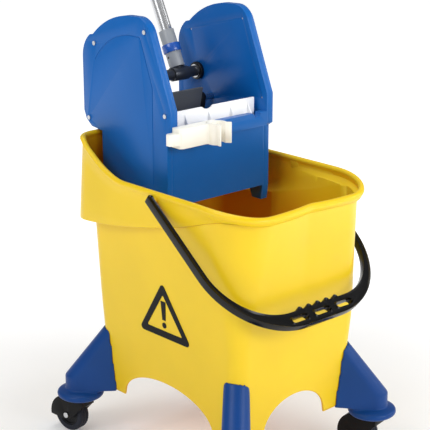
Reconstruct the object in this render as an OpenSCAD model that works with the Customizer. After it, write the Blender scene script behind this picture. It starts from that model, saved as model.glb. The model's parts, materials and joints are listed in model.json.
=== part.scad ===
// Press-wringer mop bucket: a moulded tank on four splayed feet with swivel castors, a carrying
// bail across the front, and a lift-off wringer whose lever swings a press plate through gears.
// Width runs along X, the pouring front faces -Y, and the floor is z = 0.

/* [Bucket] */
// Height of the leg tips above the floor
leg_z = 90; // [80:1:105]
// Half width of the tank walls at the leg tips
base_half_w = 128.5; // [115:0.5:155]
// Half length of the tank walls at the leg tips
base_half_l = 167; // [150:1:202]
// Outward lean of the side walls, in mm for each mm of height
side_flare = 0.055; // [0.02:0.005:0.08]
// Height of the tank's bottom
floor_z = 160; // [152:1:200]
// Height of the rim along the sides
rim_z = 486; // [440:1:540]
// Rise of the collar behind the wringer, above the side rim
collar_rise = 54; // [30:1:70]
// Dip of the pouring edge below the side rim
pour_dip = 14; // [4:1:24]
// Height of the collar's lower edge at the back
collar_low_z = 397; // [360:1:410]
// How far the collar stands out from the tank at the back
collar_step = 17; // [10:1:24]
// Wall thickness of the tank
wall = 4; // [3:0.5:6]
// Depth of the groove down the middle of the front
pour_groove = 6; // [0:1:10]

/* [Feet and castors] */
// Height at which a foot's ridge leaves the tank corner
foot_top_z = 212; // [190:1:230]
// Width of a foot
foot_w = 46; // [36:1:56]
// How far a castor's swivel stands out from the tank corner on each axis
foot_reach = 27; // [22:1:34]
// Radius of a foot's bumper flange
flange_r = 41; // [34:1:44]
// Diameter of the castor wheels
wheel_d = 62; // [50:1:64]
// Width of the castor wheels
wheel_w = 22; // [16:1:26]
// Trail of the wheel axle behind the swivel
castor_trail = 22; // [16:1:26]
// Heading of the castors, turned from straight back
castor_turn = 11; // [-30:1:30]
// Radius of the castor stems
stem_r = 5.5; // [4:0.5:8]
// Radius of the wheel axles
axle_r = 3; // [2:0.5:4]

/* [Bail] */
// Depth of the bail's pivots below the side rim
bail_drop = 13; // [10:1:31]
// Distance from the pivots to the middle of the hand grip
bail_len = 274; // [255:1:330]
// Angle below level at which the bail rests
bail_rest = 38.5; // [30:0.5:43]
// Width of the bail's arms
bail_arm = 9; // [8:1:14]
// Width of the hand grip
bail_grip = 28; // [20:1:34]
// Thickness of the bail
bail_t = 12; // [8:1:16]

/* [Wringer] */
// Width of the wringer over its covers
wringer_w = 226; // [190:1:248]
// Thickness of each side housing
housing_t = 14; // [12:0.5:20]
// Height of the covers' tops
cover_top_z = 742; // [700:1:780]
// Height of the wringer's front lip
lip_z = 572; // [560:1:590]
// Depth of the front lip band
lip_h = 24; // [14:1:34]
// Height of the wringer's underside
wringer_low_z = 442; // [425:1:450]
// Sheet thickness of the casing and covers
sheet = 3; // [2:0.5:4]

/* [Lever and press] */
// Distance of the lever shaft behind the wringer's front
shaft_back = 171; // [160:1:185]
// Height of the lever shaft
shaft_z = 617; // [600:1:640]
// Radius of the lever shaft
shaft_r = 9.5; // [8:0.5:12]
// Place of the lever along its shaft
lever_x = 55; // [-50:1:55]
// Lean of the resting lever, behind upright
lever_lean = 26; // [15:1:32]
// Length of the lever from shaft to tip
lever_len = 375; // [300:1:460]
// Radius of the lever tube
tube_r = 11; // [9:0.5:13]
// Module of the press gears
gear_m = 3; // [2.5:0.25:3.5]
// Teeth on the lever's pinion
pinion_teeth = 12; // [10:1:14]
// Teeth on the full circle of the press sector
sector_teeth = 24; // [22:1:28]
// Length of the press plate below its pivot
press_drop = 118; // [90:1:118]
// Tilt of the resting press plate, foot backwards
press_tilt = 12; // [6:1:16]

/* [Clip] */
// Radius of the mop handle that the clip holds
clip_r = 12; // [10:0.5:14]
// Height of the clip
clip_h = 34; // [24:1:44]

/* [Hidden] */
$fn = 64;
fit = 0.05;   // radial clearance of a shaft in its hole
gap = 0.4;    // clearance between neighbouring bodies
eps = 0.01;

// Small helpers for points and arcs
function lerp(a, b, t) = a + (b - a) * t;
function clamp01(t) = max(0, min(1, t));
function smooth(t) = let (u = clamp01(t)) u * u * (3 - 2 * u);
function arc(c, r, from, to, n = 12) =
    [for (k = [0:n]) let (a = lerp(from, to, k / n)) [c.x + r * cos(a), c.y + r * sin(a)]];

// ---- Tank shape: every level is one ring of points, in the same order ----
corner_seg = 7;
side_seg = 12;
front_seg = 10;
front_curve = 0.00007;   // how fast the front wall leans out
front_flare = 0.058;
rear_flare = 0.052;
wall_bow = 0.8;          // the walls swell outwards by this much between the corners
low_corner = 26;         // corner radius low on the tank
corner_z = 260;          // the front corners grow rounder above this height
rim_corner_x = 70;       // the front corners at the rim, across and along the tank
rim_corner_y = 90;
rear_corner = 40;
rim_out = 9;             // how far the rim stands out from the side walls
rim_bead = 4;            // how far the rolled bead stands out from the rim
rim_h = 14;              // height of the bead

function up(z) = z - leg_z;
function wall_x(z) = base_half_w + side_flare * up(z);
function wall_front(z) = base_half_l + front_flare * up(z) + front_curve * up(z) * up(z);
function wall_rear(z) = base_half_l + rear_flare * up(z);
function roundness(z) = clamp01((z - corner_z) / (rim_z - corner_z));

// One ring: half width, front and rear depth, front corner radii, rear corner radius, groove depth
function corner(cx, cy, rx, ry, from) =
    [for (k = [0:corner_seg]) let (a = from + 90 * k / corner_seg) [cx + rx * cos(a), cy + ry * sin(a)]];
function side(x, from, to) = [for (k = [1:side_seg - 1]) let (t = k / side_seg)
    [x + sign(x) * wall_bow * 4 * t * (1 - t), lerp(from, to, t)]];
function front(x, y, groove) =
    [for (k = [1:front_seg - 1]) let (px = lerp(-x, x, k / front_seg), t = 1 - abs(px) / x)
        [px, y + groove * t * t - wall_bow * t * (2 - t)]];
function ring(x, f, r, rx, ry, rr, groove) = concat(
    corner(x - rr, r - rr, rr, rr, 0),
    corner(rr - x, r - rr, rr, rr, 90),
    side(-x, r - rr, ry - f),
    corner(rx - x, ry - f, rx, ry, 180),
    front(x - rx, -f, groove),
    corner(x - rx, ry - f, rx, ry, 270),
    side(x, ry - f, r - rr));
function wall_ring(z, out = 0) = let (t = roundness(z)) ring(
    wall_x(z) + out, wall_front(z) + out, wall_rear(z) + out,
    lerp(low_corner, rim_corner_x, t) + out, lerp(low_corner, rim_corner_y, t) + out,
    lerp(low_corner, rear_corner, t) + out, pour_groove * t);
rim_x = wall_x(rim_z) + rim_out;
rim_front = wall_front(rim_z) + 1;
rim_rear = wall_rear(collar_low_z) + collar_step - 1;
function rim_ring(out = 0) = ring(rim_x + out, rim_front + out, rim_rear + out,
    rim_corner_x + out, rim_corner_y + out, rear_corner + out, pour_groove);
function collar_ring(out = 0) = ring(
    wall_x(collar_low_z) + collar_step + out, wall_front(collar_low_z) + out,
    wall_rear(collar_low_z) + collar_step + 7 + out,
    rim_corner_x + out, rim_corner_y + out, rear_corner + out, pour_groove);

// Heights that change along the tank: the rim and the collar's lower edge
collar_from = 68;        // the collar starts to rise behind this y
collar_run = 107;
dip_from = -95;          // the pouring dip starts in front of this y
dip_run = 108;
low_from = 190;
low_run = 340;
low_rise = rim_z - collar_low_z - 25;
function rim_top(y) = rim_z
    + collar_rise * pow(clamp01((y - collar_from) / collar_run), 1.7)
    - pour_dip * pow(clamp01((dip_from - y) / dip_run), 2);
function collar_low(y) = collar_low_z + low_rise * pow(clamp01((low_from - y) / low_run), 1.8);
function collar_share(y) = 0.08 + 0.92 * smooth((y + 150) / 230);

function flat(points, z) = [for (p = points) [p.x, p.y, z]];
function raised(points, drop) = [for (p = points) [p.x, p.y, rim_top(p.y) - drop]];
function wall_low(out, lift) = let (guide = wall_ring(collar_low_z))
    [for (k = [0:len(guide) - 1]) let (z = low_edge(guide[k].y, lift), p = wall_ring(z, out)[k])
        [p.x, p.y, z]];
function low_edge(y, lift) = min(collar_low(y) + lift, rim_top(y) - rim_h - 3 - (lift > 0 ? 1 : 0));
function collar_lower(out, lift) =
    let (inner = wall_low(out, lift), outer = collar_ring(out))
    [for (k = [0:len(inner) - 1]) let (t = collar_share(inner[k].y))
        [lerp(inner[k].x, outer[k].x, t), lerp(inner[k].y, outer[k].y, t), inner[k].z]];

module skin(rings) {
    n = len(rings[0]);
    points = [for (r = rings) each r];
    sides = [for (j = [0:len(rings) - 2], k = [0:n - 1])
        let (a = j * n + k, b = j * n + (k + 1) % n)
        each [[a, a + n, b], [b, a + n, b + n]]];
    last = (len(rings) - 1) * n;
    caps = [[for (k = [0:n - 1]) k], [for (k = [n - 1:-1:0]) last + k]];
    polyhedron(points, concat(sides, caps));
}

wall_levels = [leg_z, 150, foot_top_z, 270, 330];
module wall_solid(out, low) {
    skin([for (z = [low, leg_z, 150, foot_top_z + 20]) flat(wall_ring(z, out), z)]);
}

module tank() {
    skin(concat(
        [for (z = wall_levels) flat(wall_ring(z), z)],
        [wall_low(0, 0), collar_lower(0, 0), raised(rim_ring(), rim_h)],
        [raised(rim_ring(rim_bead), rim_h - 3), raised(rim_ring(rim_bead), 4)],
        [raised(rim_ring(1), 0), raised(rim_ring(-4), 0), raised(rim_ring(-wall - 2), 4)],
        [raised(rim_ring(-wall), rim_h), collar_lower(-wall, wall), wall_low(-wall, wall)],
        [for (z = [330, 270, foot_top_z, floor_z]) flat(wall_ring(z, -wall), z)]));
}

// The whole object is drawn about the tank's middle, then slid so that its own box is centred
bail_y = 159 - base_half_l;                         // the pivots keep their distance from the tank's front
bail_z = rim_z - bail_drop;
bush_inner = rim_x - wall;
bush_outer = rim_x + rim_bead + 0.5;
bail_x = bush_outer + gap;                          // inner face of the bail's arms
bail_reach = bail_len + bail_grip / 2;
foot_x = wall_x(foot_top_z) - 2 + foot_reach;       // the castors' swivel axes
foot_y = wall_front(foot_top_z) - 5 + foot_reach;
front_end = min(bail_y - bail_reach * cos(bail_rest) - bail_t / 2 * sin(bail_rest), -foot_y - flange_r);
wringer_y = base_half_l - 164;                      // front face of the covers, set from the tank's back
shaft_y = wringer_y + shaft_back;
grip_r = 14;
rear_end = shaft_y + (lever_len - grip_r) * sin(lever_lean) + grip_r;
origin_y = -(front_end + rear_end) / 2;
module placed() {
    translate([0, origin_y, 0]) children();
}

// ---- Tank ----
arch_top = floor_z - 13;
module side_arch() {
    w = base_half_l - 55;
    translate([0, 0, leg_z]) rotate([90, 0, 90])
        linear_extrude(height = 4 * base_half_w, center = true)
            polygon([for (a = [0:10:180]) [w * cos(a), (arch_top - leg_z) * sin(a)], [-w, -9], [w, -9]]);
}
module front_arch() {
    w = base_half_w - 58;
    translate([0, 0, leg_z]) rotate([90, 0, 0])
        linear_extrude(height = 4 * base_half_l, center = true)
            polygon([for (a = [0:10:180]) [w * cos(a), (arch_top - leg_z) * sin(a)], [-w, -9], [w, -9]]);
}
bolt_z = 128;
bolt_r = 3;
module along_foot(sx, sy, z) {
    // x runs outwards along the foot from the castor's swivel axis
    translate([sx * foot_x, sy * foot_y, z]) rotate([0, 0, atan2(sy, sx)]) children();
}
function corner_in(z) = sqrt(2) * (foot_x - wall_x(z) + low_corner) - low_corner;
module foot_bolt(sx, sy, r, head) {
    start = -corner_in(bolt_z) - wall - 3;
    along_foot(sx, sy, bolt_z) rotate([0, 90, 0]) {
        translate([0, 0, start]) cylinder(r = r, h = 24);
        if (head) translate([0, 0, start - 3]) cylinder(r = 2 * r, h = 3);
    }
}
bush_r = 10;
module across(x, y, z, r, h) {
    translate([x, y, z]) rotate([0, 90, 0]) cylinder(r = r, h = h, center = true);
}
module bucket() {
    color("gold") placed() difference() {
        tank();
        skin([for (z = [leg_z - 5, floor_z - wall - 2]) flat(wall_ring(z, -wall), z)]);
        side_arch();
        front_arch();
        for (s = [-1, 1]) across(s * rim_x, bail_y, bail_z, bush_r, 40);
        for (sx = [-1, 1], sy = [-1, 1]) foot_bolt(sx, sy, bolt_r + fit, false);
    }
}

// A plain warning triangle, stuck flat on each side wall
sign_z = 278;
sign_w = 118;
sign_h = 92;
module rounded_triangle(w, h, r) {
    hull() for (p = [[-w / 2 + r, -h / 2 + r], [w / 2 - r, -h / 2 + r], [0, h / 2 - r]])
        translate(p) circle(r = r, $fn = 24);
}
module sign_shape() {
    difference() {
        rounded_triangle(sign_w, sign_h, 6);
        translate([0, -3]) rounded_triangle(sign_w - 34, sign_h - 30, 2);
    }
    translate([0, -4]) polygon([[-4, -11], [4, -11], [6, 22], [-6, 22]]);
    translate([0, -24]) circle(r = 5);
}
module side_signs() {
    color("black") placed() for (s = [-1, 1])
        translate([s * (wall_x(sign_z) + wall_bow + 0.1), -6, sign_z])
            rotate([0, s * atan(side_flare), 0]) rotate([90, 0, s * 90])
                linear_extrude(height = 0.6) sign_shape();
}

pin_r = 6;
pin_end = bush_inner + 2;                // the bushes are blind, so nothing shows inside the tank
module bail_bushes() {
    color("gold") placed() for (s = [-1, 1]) difference() {
        across(s * (bush_inner + bush_outer) / 2, bail_y, bail_z, bush_r - fit, bush_outer - bush_inner);
        across(s * (pin_end + 20), bail_y, bail_z, pin_r + fit, 40);
    }
}

// ---- Feet ----
flange_low = wheel_d + 8;
flange_t = 15;
nose_r = foot_w / 2;
foot_bottom = leg_z;
module foot_body(sx, sy) {
    reach = corner_in(foot_top_z);
    along_foot(sx, sy, 0) difference() {
        union() {
            hull() {
                for (p = [[-reach - nose_r - 4, foot_top_z - 2, nose_r - 3], [flange_r - 15 - nose_r, 108, nose_r],
                          [flange_r - 15 - nose_r, foot_bottom - 6, nose_r], [-reach - 34, foot_bottom, nose_r]])
                    translate([p[0], 0, p[1]]) cylinder(r = p[2], h = 2, $fn = 32);
            }
            translate([0, 0, flange_low]) rotate_extrude()
                polygon(concat([[0, 0], [flange_r - 6, 0]], arc([flange_r - 6, 7], 6, -60, 80, 6),
                    [[flange_r - 12, flange_t], [0, flange_t]]));
        }
        translate([0, 0, flange_low - 1]) cylinder(r = stem_r, h = 41);
    }
}
module foot(sx, sy) {
    color("royalblue") placed() difference() {
        foot_body(sx, sy);
        wall_solid(0.1, 40);
        foot_bolt(sx, sy, bolt_r + fit, false);
    }
}
module foot_front_left() { foot(-1, -1); }
module foot_front_right() { foot(1, -1); }
module foot_rear_left() { foot(-1, 1); }
module foot_rear_right() { foot(1, 1); }
module foot_bolts() {
    color("silver") placed() for (sx = [-1, 1], sy = [-1, 1]) foot_bolt(sx, sy, bolt_r, true);
}

// ---- Castors: the wheels trail behind their swivels ----
axle_z = wheel_d / 2;
fork_in = wheel_w / 2 + 1.5;
fork_out = fork_in + 3;
plate_z = flange_low - 3;
hood_r = axle_z + 2;
module at_castor(sx, sy) {
    placed() translate([sx * foot_x, sy * foot_y, 0]) rotate([0, 0, castor_turn]) children();
}
module castor_stem(sx, sy) {
    color("silver") at_castor(sx, sy) {
        translate([0, 0, plate_z - 8]) cylinder(r = stem_r - fit, h = 40);
        translate([0, 0, plate_z + 0.3]) cylinder(r = 15, h = flange_low - plate_z - 0.3);
        translate([0, 0, plate_z - 8.5]) cylinder(r = stem_r + 1.2, h = 2);
    }
}
module cheek() {
    // side view of the fork: y to the right, z up, about the swivel's foot
    difference() {
        union() {
            translate([castor_trail, axle_z]) circle(r = hood_r + 3);
            translate([-16, plate_z - 13]) square([32, 13]);
            polygon([[-16, plate_z - 12], [castor_trail - 10, axle_z - 6], [castor_trail, hood_r + axle_z],
                     [0, plate_z]]);
        }
        polygon([[-40, plate_z - 16], [-14, plate_z - 14], [castor_trail - 9, axle_z - 7],
                 [castor_trail + 9, axle_z - 9], [castor_trail + 60, axle_z - 2], [castor_trail + 60, -30],
                 [-40, -30]]);
        translate([-60, plate_z]) square([160, 30]);
    }
}
module wheel_room() {
    translate([castor_trail, axle_z]) circle(r = hood_r);
    translate([-16.01, -20]) square([castor_trail + 16, axle_z + 21.5]);
}
module side_profile(half) {
    rotate([90, 0, 90]) linear_extrude(height = 2 * half, center = true) children();
}
module castor_fork(sx, sy) {
    color("#1b1b1d") at_castor(sx, sy) difference() {
        side_profile(fork_out) cheek();
        side_profile(fork_in) wheel_room();
        translate([0, 0, plate_z - 30]) cylinder(r = stem_r, h = 60);
        translate([0, 0, plate_z - 6.3 - 20]) cylinder(r = stem_r + 3, h = 20);
        translate([0, castor_trail, axle_z]) rotate([0, 90, 0])
            cylinder(r = axle_r + fit, h = 60, center = true);
    }
}
module axle(sx, sy) {
    color("silver") at_castor(sx, sy) translate([0, castor_trail, axle_z]) rotate([0, 90, 0]) {
        cylinder(r = axle_r, h = 2 * fork_out + 1, center = true);
        for (s = [-1, 1]) translate([0, 0, s * (fork_out + 1)]) cylinder(r = axle_r + 2, h = 2, center = true);
    }
}
hub_r = 21;
module wheel_hub(sx, sy) {
    color("#26282c") at_castor(sx, sy) translate([0, castor_trail, axle_z]) rotate([0, 90, 0]) difference() {
        union() {
            cylinder(r = hub_r, h = wheel_w - 4, center = true);
            cylinder(r = axle_r + 4, h = wheel_w, center = true);
        }
        for (s = [-1, 1]) translate([0, 0, s * (wheel_w / 2 - 2)]) difference() {
            cylinder(r = hub_r - 3, h = 5, center = true);
            cylinder(r = axle_r + 4, h = 6, center = true);
        }
        cylinder(r = axle_r + fit, h = wheel_w + 2, center = true);
    }
}
module tyre(sx, sy) {
    e = 4;
    color("#3c4250") at_castor(sx, sy) translate([0, castor_trail, axle_z]) rotate([0, 90, 0]) rotate_extrude()
        polygon(concat([[hub_r, 1 - wheel_w / 2]],
            arc([axle_z - e, e - wheel_w / 2], e, -90, 0, 5), arc([axle_z - e, wheel_w / 2 - e], e, 0, 90, 5),
            [[hub_r, wheel_w / 2 - 1]]));
}
module castor_stem_front_left() { castor_stem(-1, -1); }
module castor_stem_front_right() { castor_stem(1, -1); }
module castor_stem_rear_left() { castor_stem(-1, 1); }
module castor_stem_rear_right() { castor_stem(1, 1); }
module castor_fork_front_left() { castor_fork(-1, -1); }
module castor_fork_front_right() { castor_fork(1, -1); }
module castor_fork_rear_left() { castor_fork(-1, 1); }
module castor_fork_rear_right() { castor_fork(1, 1); }
module axle_front_left() { axle(-1, -1); }
module axle_front_right() { axle(1, -1); }
module axle_rear_left() { axle(-1, 1); }
module axle_rear_right() { axle(1, 1); }
module wheel_hub_front_left() { wheel_hub(-1, -1); }
module wheel_hub_front_right() { wheel_hub(1, -1); }
module wheel_hub_rear_left() { wheel_hub(-1, 1); }
module wheel_hub_rear_right() { wheel_hub(1, 1); }
module tyre_front_left() { tyre(-1, -1); }
module tyre_front_right() { tyre(1, -1); }
module tyre_rear_left() { tyre(-1, 1); }
module tyre_rear_right() { tyre(1, 1); }

// ---- Bail: a flat hoop in its own plane, x across and u out along the arms ----
bail_corner = 134;
slot_l = 36;
slot_w = 10;
slot_pitch = 50;
bump_r = 5;
module rounded_slab(half, far, r) {
    translate([-half, 0]) square([2 * half, far - r]);
    translate([r - half, 0]) square([2 * (half - r), far]);
    for (s = [-1, 1]) translate([s * (half - r), far - r]) circle(r = r);
}
module slot(x, u, l, w) {
    translate([x - l / 2 + w / 2, u - w / 2]) square([l - w, w]);
    for (s = [-1, 1]) translate([x + s * (l - w) / 2, u]) circle(r = w / 2);
}
module hoop() {
    half = bail_x + bail_arm;
    difference() {
        union() {
            rounded_slab(half, bail_reach, bail_corner);
            for (s = [-1, 1]) translate([s * (bail_x + bail_arm / 2), 0]) circle(r = bail_arm / 2);
        }
        difference() {
            translate([0, -40]) rounded_slab(bail_x, bail_reach - bail_grip + 40, bail_corner - 30);
            for (k = [-2:2]) translate([20 * k, bail_reach - bail_grip]) circle(r = bump_r);
        }
        for (k = [-1:1]) slot(slot_pitch * k, bail_len, slot_l, slot_w);
    }
}
module in_bail_plane() {
    placed() translate([0, bail_y, bail_z]) rotate([bail_rest, 0, 0]) mirror([0, 1, 0]) children();
}
module bail() {
    color("#141414") in_bail_plane() {
        translate([0, 0, -bail_t / 2]) linear_extrude(height = bail_t) hoop();
        for (s = [-1, 1]) across(s * (pin_end + 0.5 + bail_x + 2) / 2, 0, 0, pin_r, bail_x + 1.5 - pin_end);
    }
}

// ---- Wringer casing: drawn in side view, y to the right and z up ----
side_in = wringer_w / 2 - housing_t;         // inner faces of the two side plates
cover_in = side_in + sheet;
cover_out = wringer_w / 2;
knee_z = lip_z + 29;
casing_back = rim_rear - wall - 2 - 15;
function turned(c, r, a) = [c.x + r * cos(a), c.y + r * sin(a)];
nose_c = [wringer_y + 81, cover_top_z - 36];
crown_c = [wringer_y + 92, cover_top_z - 150];
heel_c = [wringer_y + 177, cover_top_z - 80];
rear_y = heel_c.x + 46;
step_z = rim_z + collar_rise + 2;
module side_outline() {
    polygon(concat(
        [[wringer_y, lip_z - lip_h + 3], [wringer_y, knee_z]],
        arc(nose_c, 36, 159, 90), arc(crown_c, 150, 84, 47), arc(heel_c, 46, 56, 0),
        [[rear_y, step_z + 28], [rear_y - 6, step_z + 14], [rear_y - 20, step_z + 3], [casing_back, step_z]],
        [[casing_back, wringer_low_z], [wringer_y + 44, wringer_low_z], [wringer_y + 34, wringer_low_z - 26],
         [wringer_y + 12, wringer_low_z - 26], [wringer_y + 9, wringer_low_z]],
        [[wringer_y + 9, lip_z - lip_h - 3]]));
}
module slab(x0, x1) {
    translate([x0, 0, 0]) rotate([90, 0, 90]) linear_extrude(height = x1 - x0) children();
}
pivot_dist = gear_m * (pinion_teeth + sector_teeth) / 2;
pivot_fall = 48;                             // the press pivot lies below and in front of the shaft
pivot_y = shaft_y - pivot_dist * cos(pivot_fall);
pivot_z = shaft_z - pivot_dist * sin(pivot_fall);
rod_r = 5;
screw_spots = [[wringer_y + 13, knee_z - 8], [wringer_y + 61, cover_top_z - 22],
               [wringer_y + 190, cover_top_z - 55], [rear_y - 14, step_z + 17]];
screw_r = 1.8;
bush_out = shaft_r + 3;
module side_plate(s) {
    difference() {
        slab(s > 0 ? side_in : -cover_in, s > 0 ? cover_in : -side_in) side_outline();
        across(s * side_in, shaft_y, shaft_z, bush_out, 20);
        across(s * side_in, pivot_y, pivot_z, rod_r + fit, 20);
        for (p = screw_spots) across(s * side_in, p.x, p.y, screw_r + fit, 20);
    }
}
module box(x0, x1, y0, y1, z0, z1) {
    translate([x0, y0, z0]) cube([x1 - x0, y1 - y0, z1 - z0]);
}
rear_wall_z = step_z + 3;
band_back = wringer_y + 9 + sheet;           // inner face of the front lip band
notch_x = 76;
rest_from = 140;
rest_to = casing_back - 4;
rest_z = collar_low(rest_from) + wall + 1.5;
rest_out = wall_x(collar_low_z) + collar_step - wall - 9;
module rear_hook() {
    bead_top = rim_z + collar_rise;
    back = rim_rear + rim_bead + 2;
    box(-side_in, side_in, casing_back - eps, back + 3, bead_top + 1, bead_top + 5);
    box(-side_in, side_in, back, back + 3, bead_top - 26, bead_top + 5);
}
module wringer_casing() {
    color("royalblue") placed() {
        for (s = [-1, 1]) side_plate(s);
        difference() {
            union() {
                box(-side_in, side_in, wringer_y + 9, band_back, wringer_low_z, lip_z - lip_h + 4);
                box(-side_in, side_in, wringer_y, band_back, lip_z - lip_h, lip_z);
            }
            translate([notch_x, wringer_y - 5, lip_z]) rotate([-90, 0, 0]) cylinder(r = 8, h = 30);
            for (x = clip_screw_xs) translate([x, wringer_y - 2, clip_z]) rotate([-90, 0, 0])
                cylinder(r = screw_r + fit, h = 30);
        }
        box(-side_in, side_in, casing_back - sheet, casing_back, wringer_low_z, rear_wall_z);
        rear_hook();
        for (s = [-1, 1]) {
            x0 = s > 0 ? side_in : -cover_in - 8;
            box(x0, x0 + sheet + 8, rest_from, rest_to, rest_z, wringer_low_z + eps);
            r0 = s > 0 ? side_in : -rest_out;
            box(r0, r0 + rest_out - side_in, rest_from, rest_to, rest_z, rest_z + 6);
        }
    }
}

module cover_hollow() {
    // the room inside a housing: the outline drawn in by the sheet
    polygon(concat(
        [[wringer_y + sheet, lip_z - lip_h + 6], [wringer_y + sheet, knee_z - 1]],
        arc(nose_c, 36 - sheet, 159, 90), arc(crown_c, 150 - sheet, 84, 47), arc(heel_c, 46 - sheet, 56, 0),
        [[rear_y - sheet, step_z + 29], [rear_y - 8, step_z + 17], [rear_y - 21, step_z + 6],
         [casing_back - sheet, step_z + sheet]],
        [[casing_back - sheet, wringer_low_z + sheet], [wringer_y + 12, wringer_low_z + sheet]],
        [[wringer_y + 12, lip_z - lip_h]]));
}
// A shallow line that runs up the front of a cover's outer face and over its top
function panel_line(d) = concat(
    [[wringer_y + 43 + d, wringer_low_z + 33], [wringer_y + 43 + d, lip_z + 61]],
    arc([wringer_y + 79, cover_top_z - 39], 9 - d, 159, 100), arc(crown_c, 120 - d, 97, 35));
line_w = 1.6;
line_deep = 0.8;
module panel_groove() {
    back = panel_line(line_w);
    polygon(concat(panel_line(0), [for (k = [len(back) - 1:-1:0]) back[k]]));
}
module cover(s) {
    color("royalblue") placed() difference() {
        union() {
            difference() {
                slab(s > 0 ? cover_in : -cover_out, s > 0 ? cover_out : -cover_in) side_outline();
                slab(s > 0 ? cover_in - 1 : sheet - cover_out, s > 0 ? cover_out - sheet : 1 - cover_in)
                    cover_hollow();
            }
            for (p = screw_spots) across(s * (cover_in + cover_out) / 2, p.x, p.y, 5, cover_out - cover_in);
        }
        for (p = screw_spots) across(s * cover_out, p.x, p.y, screw_r + fit, 3 * housing_t);
        slab(s > 0 ? cover_out - line_deep : -cover_out - 1, s > 0 ? cover_out + 1 : line_deep - cover_out)
            panel_groove();
    }
}
module left_cover() { cover(-1); }
module right_cover() { cover(1); }
module cover_screws() {
    color("silver") placed() for (s = [-1, 1], p = screw_spots) {
        across(s * (side_in + cover_out + 1) / 2, p.x, p.y, screw_r, housing_t - 1);
        across(s * (cover_out + 1), p.x, p.y, 3.6, 2);
    }
}

// White plate that the mop is squeezed against, with gussets to the front lip
front_plate_y = wringer_y + 22;
plate_half = side_in - 8;
gusset_xs = [-63, -12, 37, notch_x];
module front_press_plate() {
    color("white") placed() difference() {
        union() {
            box(-plate_half, plate_half, front_plate_y, front_plate_y + 4, wringer_low_z + 20, lip_z + 22);
            for (x = gusset_xs) translate([x - 1.5, 0, 0]) rotate([90, 0, 90]) linear_extrude(height = 3)
                polygon([[front_plate_y, lip_z + 14], [band_back, lip_z - 4],
                         [band_back, lip_z - 40], [front_plate_y, lip_z - 60]]);
            for (z = [wringer_low_z + 40, lip_z - 50])
                box(-plate_half, plate_half, band_back, front_plate_y + eps, z, z + 3);
        }
        translate([-14, 0, lip_z + 34]) rotate([-90, 0, 0]) cylinder(r = 17, h = 60);
    }
}
module drain_grid() {
    y0 = band_back;
    y1 = casing_back - sheet;
    color("royalblue") placed() difference() {
        box(-side_in, side_in, y0, y1, wringer_low_z + 2, wringer_low_z + 5);
        for (k = [-4:4]) box(20 * k - 6, 20 * k + 6, y0 + 14, y1 - 14, wringer_low_z, wringer_low_z + 9);
    }
}
bush_flange_t = 7;
module shaft_bushes() {
    color("#17181a") placed() for (s = [-1, 1]) difference() {
        union() {
            across(s * (side_in + sheet / 2), shaft_y, shaft_z, bush_out - fit, sheet + 1);
            across(s * (side_in - bush_flange_t / 2), shaft_y, shaft_z, bush_out + 3, bush_flange_t);
        }
        across(s * side_in, shaft_y, shaft_z, shaft_r + fit, 30);
    }
}
// Flat rings stand for the turns of the torsion spring that brings the lever back
spring_wire = 1.4;
spring_pitch = spring_wire + 0.2;
spring_x = bush_flange_t + 4 - side_in;
module return_spring() {
    color("silver") placed() for (k = [1:6]) translate([spring_x + spring_pitch * k, shaft_y, shaft_z])
        rotate([0, 90, 0]) rotate_extrude() translate([shaft_r + 3.2, 0]) circle(r = spring_wire / 2, $fn = 16);
}

// ---- Mop handle clip on the wringer's front ----
clip_z = 561;
clip_x = -36;
clip_y = wringer_y - 24;
clip_wall = 4;
clip_screw_xs = [11 - side_in, clip_x - 20];
clip_mouth = -78;                        // the clip opens forwards, a little to the right
mouth_half = 50;
module jaw(s) {
    // a lip that turns outwards beside the mouth and guides the handle in
    root = turned([0, 0], clip_r + clip_wall / 2, clip_mouth + s * mouth_half);
    tip = turned(root, 8, clip_mouth + s * 28);
    hull() for (p = [root, tip]) translate(p) circle(r = clip_wall / 2 - 0.3, $fn = 24);
}
module clip_section() {
    difference() {
        circle(r = clip_r + clip_wall);
        circle(r = clip_r);
        polygon([[0, 0], turned([0, 0], 60, clip_mouth - mouth_half), turned([0, 0], 60, clip_mouth),
                 turned([0, 0], 60, clip_mouth + mouth_half)]);
    }
    for (s = [-1, 1]) jaw(s);
}
module handle_clip() {
    bar_x = 3 - cover_out;                 // the bar reaches the wringer's corner, its nose goes past it
    nose_x = -cover_out - 14;
    neck_x = clip_x - clip_r - clip_wall;
    bar_h = clip_h - 2;
    color("ivory") placed() difference() {
        union() {
            translate([clip_x, clip_y, clip_z - clip_h / 2]) linear_extrude(height = clip_h) clip_section();
            translate([0, 0, clip_z - bar_h / 2]) linear_extrude(height = bar_h)
                polygon([[bar_x, wringer_y], [bar_x, wringer_y - 17], [bar_x + 5, wringer_y - 21],
                         [neck_x - 5, wringer_y - 21], [neck_x + 3, wringer_y - 24], [neck_x + 4, wringer_y - 8],
                         [clip_x, wringer_y - 8], [clip_x + clip_r, wringer_y - 5], [clip_x + clip_r, wringer_y]]);
            translate([0, 0, clip_z - bar_h / 4 - 2]) linear_extrude(height = bar_h / 2 + 2)
                polygon([[bar_x + 1, wringer_y - 1], [nose_x + 5, wringer_y - 1], [nose_x, wringer_y - 5],
                         [nose_x, wringer_y - 12], [nose_x + 5, wringer_y - 17], [bar_x + 1, wringer_y - 19]]);
        }
        for (x = clip_screw_xs) translate([x, wringer_y - 13, clip_z]) rotate([-90, 0, 0])
            cylinder(r = screw_r + fit, h = 20);
        translate([clip_x, clip_y, clip_z - 40]) cylinder(r = clip_r, h = 80);
    }
}
module clip_screws() {
    color("silver") placed() for (x = clip_screw_xs) translate([x, band_back, clip_z]) {
        rotate([90, 0, 0]) cylinder(r = screw_r, h = 24);
        rotate([-90, 0, 0]) cylinder(r = 3.6, h = 2);
    }
}

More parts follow.
